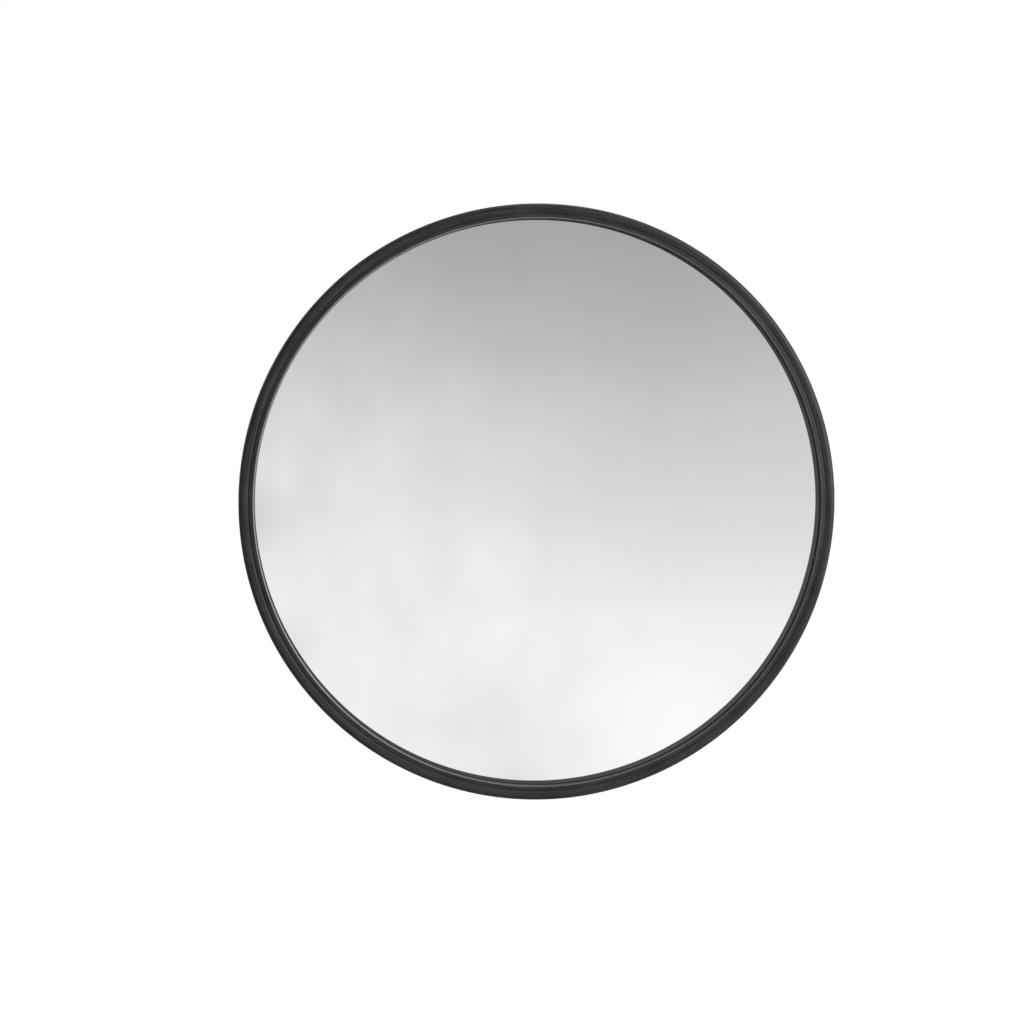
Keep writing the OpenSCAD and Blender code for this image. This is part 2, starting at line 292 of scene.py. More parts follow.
def merge(bm, other, move=(0, 0, 0)):
    """Adds other to bm, moved."""
    bmesh.ops.translate(other, verts=other.verts, vec=move)
    mesh = new_mesh("part", other)
    bm.from_mesh(mesh)
    bpy.data.meshes.remove(mesh)


# ---- putting pieces in the scene ----

def new_object(name, data):
    """Object in the scene with that mesh, light or camera."""
    obj = bpy.data.objects.new(name, data)
    bpy.context.scene.collection.objects.link(obj)
    return obj


def piece(name, bm, place, body, materials, replaced=(), sharp=35):
    """Makes bm an object, in place, that rides on a body and stands for CAD nodes."""
    bmesh.ops.remove_doubles(bm, verts=bm.verts, dist=1e-7)
    bmesh.ops.recalc_face_normals(bm, faces=bm.faces)
    bm.transform(place)
    mesh = new_mesh(name, bm)
    mesh.shade_smooth()
    mesh.set_sharp_from_angle(angle=math.radians(sharp))
    for material in materials:
        mesh.materials.append(material)
    obj = new_object(name, mesh)
    weigh_normals(obj)
    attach(obj, body)
    if replaced:
        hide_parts(*replaced)


def weigh_normals(obj):
    """Keeps flat faces flat beside rounded edges."""
    modifier = obj.modifiers.new("normals", "WEIGHTED_NORMAL")
    modifier.weight = 90
    modifier.keep_sharp = True


def dress(node, material, edge=0.0):
    """Gives a carried-over CAD node its material and, if edge isn't 0, rounded edges."""
    obj = frame["nodes"][node]
    for slot in obj.material_slots:
        slot.material = material
    if edge:
        weld = obj.modifiers.new("weld", "WELD")
        weld.merge_threshold = 0.005 * MM
        flat = obj.modifiers.new("flat", "DECIMATE")
        flat.decimate_type = "DISSOLVE"
        flat.angle_limit = math.radians(0.5)
        bevel = obj.modifiers.new("edges", "BEVEL")
        bevel.width = edge
        bevel.segments = 3
        bevel.limit_method = "ANGLE"
        bevel.angle_limit = math.radians(40)
        weigh_normals(obj)


# ---- materials ----

MIX_A, MIX_B = 6, 7        # a Mix node's inputs for colours
MIX_COLOUR = 2             # and its output


class Graph:
    """Node tree of a material or world, and short ways to add to it."""

    def __init__(self, owner, coordinates):
        owner.use_nodes = True
        self.nodes = owner.node_tree.nodes
        self.links = owner.node_tree.links
        self.place = self.node("ShaderNodeTexCoord").outputs[coordinates]

    def node(self, kind, **settings):
        """New node with those settings."""
        made = self.nodes.new(kind)
        for name, value in settings.items():
            setattr(made, name, value)
        return made

    def feed(self, socket, value):
        """Gives a socket a number or a colour, or links another socket to it."""
        if isinstance(value, (int, float)):
            socket.default_value = value
        elif isinstance(value, tuple):
            socket.default_value = (*value, 1)
        else:
            self.links.new(value, socket)

    def noise(self, size, detail=4.0, roughness=0.5, vector=None):
        """Noise from 0 to 1 with features of about that size."""
        made = self.node("ShaderNodeTexNoise")
        self.feed(made.inputs["Vector"], vector or self.place)
        self.feed(made.inputs["Scale"], 1 / size)
        self.feed(made.inputs["Detail"], detail)
        self.feed(made.inputs["Roughness"], roughness)
        return made.outputs["Fac"]

    def math(self, operation, *values):
        """Result of a Math node on numbers or sockets."""
        made = self.node("ShaderNodeMath", operation=operation)
        for socket, value in zip(made.inputs, values):
            self.feed(socket, value)
        return made.outputs[0]

    def spread(self, source, low, high, to_low, to_high, curve="LINEAR"):
        """Takes source from low..high to to_low..to_high, clamped."""
        made = self.node("ShaderNodeMapRange", interpolation_type=curve, clamp=True)
        self.feed(made.inputs["Value"], source)
        for end, value in (("From Min", low), ("From Max", high), ("To Min", to_low), ("To Max", to_high)):
            self.feed(made.inputs[end], value)
        return made.outputs["Result"]

    def split(self, vector):
        """The three parts of a vector."""
        made = self.node("ShaderNodeSeparateXYZ")
        self.feed(made.inputs[0], vector)
        return made.outputs

    def length(self, a, b):
        """Length of the hypotenuse over a and b."""
        squares = [self.math("MULTIPLY", side, side) for side in (a, b)]
        return self.math("SQRT", self.math("ADD", *squares))

    def mix_colour(self, factor, a, b):
        """Colour a where factor is 0, and b where it is 1."""
        made = self.node("ShaderNodeMix", data_type="RGBA")
        for socket, value in (("Factor", factor), (MIX_A, a), (MIX_B, b)):
            self.feed(made.inputs[socket], value)
        return made.outputs[MIX_COLOUR]


class Look(Graph):
    """A Principled material and short ways to add procedural detail to it."""

    def __init__(self, name, colour, roughness, metallic=0.0, **constants):
        self.material = bpy.data.materials.new(name)
        super().__init__(self.material, "Object")
        self.shader = self.nodes["Principled BSDF"]
        self.paint(colour)
        self.rough(roughness)
        self.set("Metallic", metallic)
        for socket, value in constants.items():
            self.set(socket.replace("_", " "), value)
        self.height = None

    def set(self, socket, value):
        """Feeds one of the shader's sockets."""
        self.feed(self.shader.inputs[socket], value)

    def paint(self, colour):
        self.set("Base Color", colour)

    def rough(self, value):
        self.set("Roughness", value)

    def bump(self, height, depth):
        """Adds height, 0 to 1, as a bump of that depth in metres."""
        made = self.node("ShaderNodeBump")
        made.inputs["Strength"].default_value = 1
        made.inputs["Distance"].default_value = depth
        self.feed(made.inputs["Height"], height)
        if self.height is not None:
            self.feed(made.inputs["Normal"], self.height)
        self.height = made.outputs["Normal"]
        self.set("Normal", self.height)


def shades(colour, factor):
    """A colour made lighter or darker."""
    return tuple(c * factor for c in colour)


def mirror_front():
    """Silvered acrylic. Short of the rim, a little off centre, the silver ends and the face is black beyond: a
    painted reflection of the trim's lip.
    """
    look = Look("silvered_acrylic", (0.87, 0.872, 0.876), 0.02, 1.0, Coat_Weight=0.4, Coat_Roughness=0.02)
    look.rough(look.spread(look.noise(60 * MM, 5, 0.6), 0.45, 0.75, 0.012, 0.05))
    silver = look.mix_colour(look.noise(90 * MM, 2), (0.862, 0.866, 0.872), (0.88, 0.88, 0.88))
    # black beyond the silver's edge is a painted reflection of the trim's lip
    black = (0.006, 0.006, 0.006)
    x, _, z = look.split(look.place)
    off = look.length(look.math("ADD", x, PAINTED_REFLECTION_SHIFT), look.math("SUBTRACT", z, PAINTED_REFLECTION_SHIFT))
    # the colour turns black before the metal ends, so that no bright line shows between them
    fade = 0.2 * MM
    look.paint(look.mix_colour(look.spread(off, PAINTED_REFLECTION_R - fade, PAINTED_REFLECTION_R + fade, 0, 1), silver, black))
    look.set("Metallic", look.spread(off, PAINTED_REFLECTION_R + fade, PAINTED_REFLECTION_R + 2.5 * fade, 1, 0))
    look.bump(look.noise(70 * MM, 1), 0.06 * MM)
    return look.material


def mirror_back():
    """Grey paint that protects the silver."""
    look = Look("grey_backing_paint", (0.2, 0.205, 0.21), 0.6)
    look.paint(look.mix_colour(look.noise(15 * MM), (0.17, 0.175, 0.18), (0.23, 0.235, 0.24)))
    look.bump(look.noise(1.5 * MM), 0.03 * MM)
    return look.material


def rubber(name, colour, contrast, shine, relief):
    """Extruded rubber: streaks along its length, fine grain and a dull bloom."""
    look = Look(name, colour, 0.6, Specular_IOR_Level=shine)
    x, y, z = look.split(look.place)
    turn = look.math("ARCTAN2", z, x)
    along = look.node("ShaderNodeCombineXYZ")
    # the noise crosses only 5 mm in a radian, which draws it out round the ring
    for socket, value in zip(along.inputs, (look.length(x, z), y, look.math("MULTIPLY", turn, 5 * MM))):
        look.feed(socket, value)
    streaks = look.noise(0.9 * MM, 3, 0.6, along.outputs[0])
    bloom = look.noise(25 * MM, 5, 0.6)
    tone = look.math("MULTIPLY_ADD", streaks, 0.7, look.math("MULTIPLY", bloom, 0.3))
    streak = look.spread(tone, 0.38, 0.62, 0, 1)
    look.paint(look.mix_colour(streak, shades(colour, 1 / contrast), shades(colour, contrast)))
    look.rough(look.spread(tone, 0.3, 0.7, 0.5, 0.66))
    look.bump(streaks, relief)
    look.bump(look.noise(0.35 * MM, 3), 0.03 * MM)
    return look.material


def hardboard():
    """Pressed fibre board with its screen-marked side out."""
    look = Look("hardboard", (0.16, 0.09, 0.048), 0.8)
    fibres = look.noise(2.2 * MM, 8, 0.75)
    blotches = look.noise(110 * MM, 4, 0.6)
    tone = look.math("MULTIPLY_ADD", fibres, 0.85, look.math("MULTIPLY", blotches, 0.15))
    dark, light = (0.1, 0.052, 0.027), (0.235, 0.137, 0.075)
    look.paint(look.mix_colour(look.spread(tone, 0.33, 0.67, 0, 1), dark, light))
    look.rough(look.spread(fibres, 0.3, 0.7, 0.7, 0.9))
    wire_pitch = 1.4 * MM
    bands_in_tau = 20              # of a wave texture at scale 1

    def wires(direction):
        made = look.node("ShaderNodeTexWave", bands_direction=direction)
        look.feed(made.inputs["Vector"], look.place)
        look.feed(made.inputs["Scale"], math.tau / (bands_in_tau * wire_pitch))
        look.feed(made.inputs["Distortion"], 0.4)
        return made.outputs["Fac"]

    look.bump(look.math("MULTIPLY", wires("X"), wires("Z")), 0.12 * MM)
    look.bump(fibres, 0.08 * MM)
    return look.material


def powder_coat():
    """Black powder coat: fine orange peel, worn a little lighter on its edges."""
    colour, worn = (0.014, 0.014, 0.015), (0.09, 0.088, 0.085)
    look = Look("black_powder_coat", colour, 0.4)
    dust = look.noise(18 * MM, 6, 0.65)
    edge = look.node("ShaderNodeNewGeometry").outputs["Pointiness"]
    wear = look.math("MULTIPLY", look.spread(edge, 0.52, 0.6, 0, 1), look.spread(dust, 0.4, 0.7, 0.1, 1))
    dusty = look.spread(dust, 0.3, 0.7, 0, 1)
    painted = look.mix_colour(dusty, shades(colour, 0.8), shades(colour, 1.5))
    look.paint(look.mix_colour(wear, painted, worn))
    look.rough(look.spread(dust, 0.3, 0.7, 0.34, 0.5))
    look.bump(look.noise(0.9 * MM, 2, 0.5), 0.035 * MM)
    return look.material


def plated(name, dark, light, roughness):
    """Plated or drawn metal with stains and fine scratches."""
    look = Look(name, light, roughness, 1.0)
    stains = look.noise(4 * MM, 5, 0.6)
    look.paint(look.mix_colour(look.spread(stains, 0.35, 0.65, 0, 1), dark, light))
    look.rough(look.spread(look.noise(1.2 * MM, 4), 0.3, 0.7, roughness - 0.08, roughness + 0.1))
    look.bump(look.noise(0.5 * MM, 3), 0.012 * MM)
    return look.material


def moulded_plastic():
    """Black moulded plastic with a spark-eroded grain."""
    colour = (0.017, 0.017, 0.018)
    look = Look("black_plastic", colour, 0.36)
    rub = look.noise(9 * MM, 5, 0.6)
    rubbed = look.spread(rub, 0.35, 0.7, 0, 1)
    look.paint(look.mix_colour(rubbed, shades(colour, 0.85), shades(colour, 1.5)))
    look.rough(look.spread(rub, 0.3, 0.7, 0.3, 0.46))
    look.bump(look.noise(0.3 * MM, 3), 0.025 * MM)
    return look.material


def nylon_plastic():
    """Natural nylon, a little translucent."""
    look = Look("white_nylon", (0.78, 0.77, 0.72), 0.42, Subsurface_Weight=0.15, Subsurface_Scale=2 * MM)
    look.paint(look.mix_colour(look.noise(5 * MM), (0.74, 0.73, 0.67), (0.82, 0.81, 0.77)))
    look.bump(look.noise(0.4 * MM), 0.01 * MM)
    return look.material


silvered = mirror_front()
back_paint = mirror_back()
black_rubber = rubber("black_rubber", (0.006, 0.006, 0.0062), contrast=2.2, shine=0.2, relief=0.2 * MM)
# lighter rubber for the lip's foot and edge: a painted highlight
painted_highlight_rubber = rubber("painted_highlight_rubber", (0.034, 0.034, 0.0345), contrast=1.15, shine=0.9,
                        relief=0.04 * MM)
board_fibre = hardboard()
black_steel = powder_coat()
zinc = plated("zinc_plate", (0.57, 0.57, 0.55), (0.67, 0.67, 0.65), 0.3)
spring_steel = plated("spring_steel", (0.3, 0.29, 0.28), (0.48, 0.47, 0.46), 0.34)
brass = plated("brass", (0.5, 0.34, 0.13), (0.72, 0.52, 0.22), 0.3)
black_plastic = moulded_plastic()
nylon = nylon_plastic()


# ---- mirror head ----

def make_mirror():
    """Domed acrylic sheet with a bent flat rim, silvered in front and painted behind."""
    board_t = board_high.y - board_low.y
    rim_front = board_t + ACRYLIC_T
    apex = board_high.y - dome_low.y
    foot_r = MIRROR_R - RIM_W
    rise = apex - rim_front
    dome_r = (foot_r ** 2 + rise ** 2) / (2 * rise)
    dome_centre = apex - dome_r
    bend_centre = rim_front + RIM_BEND_R
    bend_x = math.sqrt((dome_r + RIM_BEND_R) ** 2 - (bend_centre - dome_centre) ** 2)
    lean = math.degrees(math.atan2(bend_x, bend_centre - dome_centre))

    def side(dome, bend, rim):
        """Front or back of the sheet, from the axis to the rim."""
        cap = arc(0, dome_centre, dome, 90, 90 - lean, 110)
        foot = arc(bend_x, bend_centre, bend, 270 - lean, 270, 8)
        return [(0, dome_centre + dome), *cap[1:], *foot[1:], (MIRROR_R - ACRYLIC_EDGE, rim)]

    front = side(dome_r, RIM_BEND_R, rim_front)
    back = side(dome_r - ACRYLIC_T, RIM_BEND_R + ACRYLIC_T, board_t)
    edge = [(MIRROR_R, rim_front - ACRYLIC_EDGE), (MIRROR_R, board_t + ACRYLIC_EDGE)]
    bm = bmesh.new()
    front_rings = [ring(bm, HEAD_COLUMNS, point) for point in front]
    back_rings = [ring(bm, HEAD_COLUMNS, point) for point in edge + back[::-1]]
    skin(bm, front_rings)
    skin(bm, [front_rings[-1], *back_rings], slot=1)
    sides = (silvered, back_paint)
    piece("mirror_face", bm, HEAD, "mirror_head", sides, ["mirror_dome"])


def trim_outline():
    """Section of the trim, in two parts: the lip's foot and edge, and then all the rest."""
    rim_front = board_high.y - board_low.y + ACRYLIC_T
    face = rim_front + LIP_T
    top = face + LIP_LIFT
    front_r = TRIM_R - FRONT_LIP_W
    back_r = TRIM_R - BACK_LIP_W
    channel_r = MIRROR_R + TRIM_PLAY
    foot = front_r - LIP_FOOT
    foot_z = rim_front + (MIRROR_R - RIM_W - foot) * math.tan(math.radians(LIP_SLANT)) + LIP_GAP
    bead_x = TRIM_R - BEAD_R
    front_bead = face + BEAD_RISE - BEAD_R
    back_bead = BEAD_R - LIP_T - BACK_BEAD_RISE
    back_crease = math.degrees(math.asin(1 - BACK_BEAD_RISE / BEAD_R)) - 180
    crease = bead_x - BEAD_R * CREASE_IN

    edge = [(foot + 0.5 * MM, foot_z - 0.28 * MM), (foot, foot_z)]
    edge += arc(front_r + LIP_EDGE_R, top - LIP_EDGE_R, LIP_EDGE_R, 150, 85, 6)

    rest = [(front_r + 3 * MM, face + LIP_LIFT * 0.55)]
    rest += [(crease - 0.55 * MM, face + 0.02 * MM), (crease - 0.25 * MM, face - 0.1 * MM)]
    rest += [(crease, face - CREASE_DEPTH), (crease + 0.3 * MM, face - 0.05 * MM)]
    rest += [(crease + 1 * MM, face + BEAD_RISE * 0.45), (crease + 2.3 * MM, face + BEAD_RISE * 0.85)]
    rest += arc(bead_x, front_bead, BEAD_R, 90, 0, 14)
    rest += [(TRIM_R - 0.12 * MM, (front_bead + back_bead) / 2)]
    rest += arc(bead_x, back_bead, BEAD_R, 0, back_crease, 18)
    rest += [(back_r + LIP_T, -LIP_T)]
    rest += arc(back_r + LIP_T / 2, -LIP_T / 2, LIP_T / 2, 270, 90, 10)
    rest += [(channel_r, 0), (channel_r, rim_front), (MIRROR_R - 4 * MM, rim_front)]
    return edge, rest


def make_trim():
    """Rubber edge trim, slightly uneven as an extrusion is, with its lip's edge in a lighter rubber that is a
    painted highlight.
    """

    def uneven(k, radius, z):
        """Point k of the section. It sags inwards by an uneven amount, unless it grips the mirror."""
        in_front = z > LIP_BACK
        free = in_front or z < -TRIM_PLAY or radius > MIRROR_R + TRIM_PLAY
        reach = (TRIM_R - 2 * BEAD_R - radius) / (FRONT_LIP_W - 2 * BEAD_R)
        loose = min(max(reach, 0), 1) if in_front else 0

        def point(angle):
            # noise read along a circle meets itself, and less 0.7 it is hardly ever above zero
            spot = Vector((3 * math.cos(angle), 3 * math.sin(angle), k * 0.05))
            sag = SAG * (noise.noise(spot) - 0.7) if free else 0
            return radius + sag + LIP_SHIFT * loose * math.cos(angle), z + sag * 0.5
        return point

    edge, rest = trim_outline()
    bm = bmesh.new()
    rows = [ring(bm, 2 * HEAD_COLUMNS, uneven(k, *point)) for k, point in enumerate(edge + rest)]
    # the lip's foot and edge take the lighter rubber of the painted highlight
    skin(bm, rows[:len(edge)], slot=1)
    skin(bm, rows[len(edge) - 1:] + rows[:1])
    rubbers = (black_rubber, painted_highlight_rubber)
    piece("edge_trim_rubber", bm, HEAD, "mirror_head", rubbers, ["edge_trim"])


# ---- bracket steel ----

def corners_of(width, height):
    """The four corners of a rectangle about the origin."""
    return [(sx * width / 2, sy * height / 2) for sx in (-1, 1) for sy in (-1, 1)]


def make_plate(name, node, place, body, hole_spacing, hole_r):
    """Rounded rectangular plate with four holes."""
    low, high = local_box(node, place)
    size = high - low

    def loops(inset):
        outline = rounded_rectangle(0, 0, size.x - 2 * inset, size.y - 2 * inset, PLATE_CORNER_R - inset)
        return [outline] + [circle_loop(x, y, hole_r + inset) for x, y in corners_of(*hole_spacing)]

    bm = plate(loops, size.z)
    bmesh.ops.translate(bm, verts=bm.verts, vec=(0, 0, low.z))
    piece(name, bm, place, body, (black_steel,), [node])


def make_yoke(name, node, place, body):
    """Strap bent to a U: foot on z = 0, ears across x, a round hole at +x and a square one at -x."""
    low, high = local_box(node, place)
    ear_out = high.x
    half_w = high.y
    pivot_z = high.z - half_w
    middle_r = YOKE_BEND_R + YOKE_T / 2
    outer_r = YOKE_BEND_R + YOKE_T
    flat = ear_out - outer_r
    bent = flat + middle_r * math.pi / 2
    pivot_s = bent + pivot_z - outer_r
    end_s = pivot_s + half_w

    def loops(inset):
        strap = rounded_rectangle(0, 0, 2 * (end_s - inset), 2 * (half_w - inset), half_w - inset, 24)
        hole = circle_loop(pivot_s, 0, PIVOT_R + BOLT_PLAY + inset)
        side = 2 * (PIVOT_R + NECK_PLAY + inset)
        square = rounded_rectangle(-pivot_s, 0, side, side, NECK_CORNER + inset, 4)
        return [strap, hole, square]

    bm = plate(loops, YOKE_T)
    # cut across where the strap bends, and then wrap it round both bends
    cuts = 8
    for sign in (-1, 1):
        for i in range(cuts + 1):
            s = sign * (flat + (bent - flat) * i / cuts)
            geometry = bm.verts[:] + bm.edges[:] + bm.faces[:]
            bmesh.ops.bisect_plane(bm, geom=geometry, plane_co=(s, 0, 0), plane_no=(1, 0, 0))
    for vert in bm.verts:
        s, w, t = vert.co
        sign = math.copysign(1, s)
        s = abs(s)
        if s <= flat:
            vert.co = (sign * s, w, t)
        elif s <= bent:
            turn = (s - flat) / middle_r
            reach = outer_r - t
            vert.co = (sign * (flat + reach * math.sin(turn)), w, outer_r - reach * math.cos(turn))
        else:
            vert.co = (sign * (ear_out - t), w, outer_r + s - bent)
    piece(name, bm, place, body, (black_steel,), [node])
    for side, w in (("a", -half_w), ("b", half_w)):
        make_weld(f"{name}_weld_{side}", flat * 0.9, w, place, body)


def make_weld(name, half_length, w, place, body):
    """Painted fillet weld along the edge of a yoke's foot: a rippled half round with tapered ends."""
    stations = 180
    columns = 16
    ripple_depth = 0.09        # this and the unevenness are shares of the weld's radius
    unevenness = 0.12
    lump = 2 * MM
    sunk = 0.05 * MM           # into the plate
    bm = bmesh.new()
    rows = []
    for i in range(stations + 1):
        x = half_length * (2 * i / stations - 1)
        taper = math.sqrt(max(1 - abs(x / half_length) ** 6, 0.02))
        scallop = 1 - ripple_depth * (x / WELD_RIPPLE % 1) ** 2
        r = WELD_R * taper * scallop * (1 + unevenness * noise.noise(Vector((x / lump, w, 0))))
        angles = [math.tau * j / columns for j in range(columns)]
        rows.append([bm.verts.new((x, w + r * math.cos(a), max(r * math.sin(a), -sunk))) for a in angles])
    loft(bm, rows)
    piece(name, bm, place, body, (black_steel,), sharp=60)


# ---- pivot hardware and studs ----

def domed_head(radius, height, steps):
    """Points of a domed head from its top at (0, 0) to its edge, as (radius, depth)."""
    cap_r = (radius ** 2 + height ** 2) / (2 * height)
    end = math.degrees(math.asin(radius / cap_r))
    return [(r, cap_r - y) for r, y in arc(0, 0, cap_r, 90, 90 - end, steps)]


def make_bolt(name, node, place, body):
    """Carriage bolt: domed head, square neck, plain shank and a threaded end."""
    low, high = local_box(node, place)
    washer_low, _ = local_box(node.replace("_bolt", "_washer"), place)
    head_r = high.x
    seat = -washer_low.z
    thread_low = high.z - PIVOT_THREAD
    cap = [(r, low.z + depth) for r, depth in domed_head(head_r, seat - low.z, 16)]

    def neck(z):
        """Row of the square neck, its corners blunted."""
        return lambda angle: (PIVOT_R * min(1 / max(abs(math.cos(angle)), abs(math.sin(angle))), 1.3), z)

    rows = [(0, low.z), *cap[1:-1], (head_r - 0.15 * MM, seat - 0.25 * MM)]
    rows += [(head_r - 0.1 * MM, seat - 0.08 * MM), (head_r - 0.3 * MM, seat)]
    rows += [neck(seat), neck(seat + YOKE_T - 0.3 * MM)]
    rows += [(PIVOT_R, seat + YOKE_T), (PIVOT_R, thread_low)]
    bm = bmesh.new()
    skin(bm, [ring(bm, BOLT_COLUMNS, row) for row in rows])
    thread(bm, thread_low, high.z, PIVOT_R, PIVOT_PITCH, BOLT_COLUMNS, 0.8 * MM)
    piece(name, bm, place, body, (zinc,), [node])


def make_lock_washer(name, node, place, body):
    """Split spring washer with a slanted cut."""
    low, high = local_box(node, place)
    outer = high.x
    middle = (low.z + high.z) / 2
    section = ring_section(PIVOT_R + 0.1 * MM, outer, low.z, high.z, 0.3 * MM, 0.3 * MM)
    half_gap = 0.1             # of the split, in radians
    slant = math.tan(math.radians(25))
    stations = 72
    bm = bmesh.new()
    rows = []
    for i in range(stations + 1):
        angle = math.pi / 2 + half_gap + (math.tau - 2 * half_gap) * i / stations
        row = []
        for r, z in section:
            a = angle - (z - middle) * slant / outer
            row.append(bm.verts.new((r * math.cos(a), r * math.sin(a), z)))
        rows.append(row)
    loft(bm, rows)
    piece(name, bm, place, body, (spring_steel,), [node])


def make_knob(name, node, place, body):
    """Lobed hand knob with soft edges, a crowned top and a recess round its insert."""
    low, high = local_box(node, place)
    outer = high.x
    base, top = low.z, high.z
    dip_at = outer + 2.6 * MM      # from the axis to the middle of a finger dip
    blend = 2.2 * MM               # between a dip and a lobe
    hub_r, hub_h = 11 * MM, 5 * MM
    bore = 6.02 * MM

    def lobed(angle):
        """Radius of the knob at an angle."""
        step = math.tau / KNOB_LOBES
        off = (angle % step) - step / 2
        reach = dip_at * math.sin(abs(off))
        dip = outer * 1.5
        if reach < KNOB_DIP_R:
            dip = dip_at * math.cos(off) - math.sqrt(KNOB_DIP_R ** 2 - reach ** 2)
        h = max(blend - abs(outer - dip), 0) / blend
        return min(outer, dip) - h * h * blend / 4

    def crown(r):
        """Height of the crowned top at a radius."""
        return top - KNOB_CROWN_R + math.sqrt(KNOB_CROWN_R ** 2 - r ** 2)

    def flank(inset, rise):
        """Row up the knob's side, inset from its outline and above its hub."""
        return lambda angle: (lobed(angle) - inset * MM, base + (hub_h + rise * MM))

    def brow(inset, drop):
        """Row round the knob's upper edge, inset from its outline and below its crown."""
        return lambda angle: (lobed(angle) - inset * MM, crown(lobed(angle) - inset * MM) - drop * MM)

    def top_row(share):
        """Row on the crown, from a round one at share 0 to the brow at share 1."""
        def point(angle):
            r = (lobed(angle) - 2.4 * MM) * share + 9 * MM * (1 - share)
            return r, crown(r)
        return point

    rows = [(bore, base), (hub_r - 1.9 * MM, base), (hub_r - 1.5 * MM, base + 0.4 * MM)]
    rows += [(hub_r - 0.5 * MM, base + hub_h - 1.2 * MM), (hub_r + 0.3 * MM, base + hub_h - 0.25 * MM)]
    rows += [(hub_r + 1 * MM, base + hub_h)]
    rows += [flank(*spot) for spot in ((2.4, 0), (1.2, 0.2), (0.5, 0.7), (0.1, 1.5), (0, 2.4))]
    rows += [brow(*spot) for spot in ((0, 2.6), (0.15, 1.6), (0.55, 0.8), (1.2, 0.25))]
    rows += [top_row(1 - i / 8) for i in range(9)]
    rows += [(8.6 * MM, crown(8.6 * MM) - 0.25 * MM)]
    recess = ((8.3, 1.3), (7.2, 1.4), (6.9, 1.1), (6.7, 0.4))
    rows += [(r * MM, top - depth * MM) for r, depth in recess]
    rows += [(bore, top - 0.3 * MM)]
    bm = bmesh.new()
    skin(bm, [ring(bm, 240, row) for row in rows], closed=True)
    piece(name, bm, place, body, (black_plastic,), [node], sharp=50)


def make_insert(name, node, place, body):
    """Brass insert with chamfered mouths."""
    low, high = local_box(node, place)
    section = ring_section(PIVOT_R + 0.05 * MM, high.x, low.z, high.z, 0.4 * MM, 0.3 * MM)
    piece(name, lathe(section, 64), place, body, (brass,), [node])


def make_pivot(pivot, place, fixed):
    """All the hardware of one pivot. fixed is the body that the bolt is clamped in."""
    make_bolt(f"{pivot}_carriage_bolt", f"{pivot}_bolt", place, fixed)
    low, high = local_box(f"{pivot}_washer", place)
    flat = washer(high.x, PIVOT_R + 0.2 * MM, low.z, high.z)
    piece(f"{pivot}_flat_washer", flat, place, fixed, (zinc,), [f"{pivot}_washer"])
    make_lock_washer(f"{pivot}_split_washer", f"{pivot}_lock_washer", place, fixed)
    make_knob(f"{pivot}_hand_knob", f"{pivot}_knob", place, f"{pivot}_knob")
    make_insert(f"{pivot}_brass_insert", f"{pivot}_knob_insert", place, f"{pivot}_clamp")
    low, high = local_box(f"{pivot}_bush", place)
    bush = washer(high.x, PIVOT_R + 0.08 * MM, low.z, high.z)
    piece(f"{pivot}_nylon_bush", bush, place, "arm", (nylon,), [f"{pivot}_bush"])
    discs = f"{pivot}_friction_washers"
    low, high = local_box(discs, place)
    pair = bmesh.new()
    for bottom in (high.z - FRICTION_T, low.z):
        merge(pair, washer(high.x, PIVOT_R + 0.2 * MM, bottom, bottom + FRICTION_T, 0.3 * MM))
    piece(f"{pivot}_nylon_washers", pair, place, "arm", (nylon,), [discs])


def stud(low, high):
    """Round-headed stud with a threaded end, along z with its end at low."""
    bm = bmesh.new()
    head_h = 2.8 * MM
    shank = high - head_h
    thread_top = shank - 2 * MM
    cap = [(r, depth - high) for r, depth in domed_head(STUD_R * 2.3, head_h, 10)]
    rows = [(0, -high), *cap[1:], (STUD_R, -shank), (STUD_R, -thread_top)]
    skin(bm, [ring(bm, STUD_COLUMNS, row) for row in rows])
    thread(bm, -thread_top, -low, STUD_R, STUD_PITCH, STUD_COLUMNS, 0.55 * MM)
    bm.transform(Matrix.Rotation(math.pi, 4, "X"))
    return bm


def nut(low, high):
    """Hexagon lock nut with a nylon ring, its collar at low."""
    height = high - low
    hex_h = 3.7 * MM
    chamfer_r = NUT_FLATS / 2 + 0.35 * MM
    collar_r = 3.6 * MM
    bore_r = STUD_R + 0.02 * MM

    def hexagon(z, limit):
        """Row of the hexagon, its corners cut off at a radius."""
        def point(angle):
            off = (angle % (math.tau / 6)) - math.tau / 12
            return min(NUT_FLATS / 2 / math.cos(off), limit), z
        return point

    steps = 5
    slope = [0.28 * MM * i / steps for i in range(steps + 1)]
    rows = [(STUD_R + 0.35 * MM, 0), *[hexagon(z, chamfer_r + z) for z in slope]]
    rows += [hexagon(hex_h - z, chamfer_r + z) for z in reversed(slope)]
    rows += [(collar_r + 0.15 * MM, hex_h), (collar_r, hex_h + 0.2 * MM), (collar_r, height - 0.4 * MM)]
    rows += [(collar_r - 0.1 * MM, height - 0.15 * MM), (collar_r - 0.35 * MM, height)]
    inner = [(collar_r - 0.5 * MM, height - 0.1 * MM), (collar_r - 0.55 * MM, height - 0.25 * MM)]
    inner += [(STUD_R + 0.2 * MM, height - 0.25 * MM), (bore_r, height - 0.4 * MM), (bore_r, hex_h)]
    bm = bmesh.new()
    metal = [ring(bm, NUT_COLUMNS, row) for row in rows]
    plastic = [ring(bm, NUT_COLUMNS, row) for row in inner]
    bore = ring(bm, NUT_COLUMNS, (bore_r, 0.3 * MM))
    skin(bm, metal)
    skin(bm, [metal[-1], *plastic], slot=1)
    skin(bm, [plastic[-1], bore, metal[0]])
    bm.transform(Matrix.Translation((0, 0, high)) @ Matrix.Rotation(math.pi, 4, "X"))
    return bm


def stud_washer(low, high):
    """Flat washer under a lock nut."""
    return washer(STUD_WASHER_R, STUD_R + 0.15 * MM, low, high, 0.2 * MM, 48)


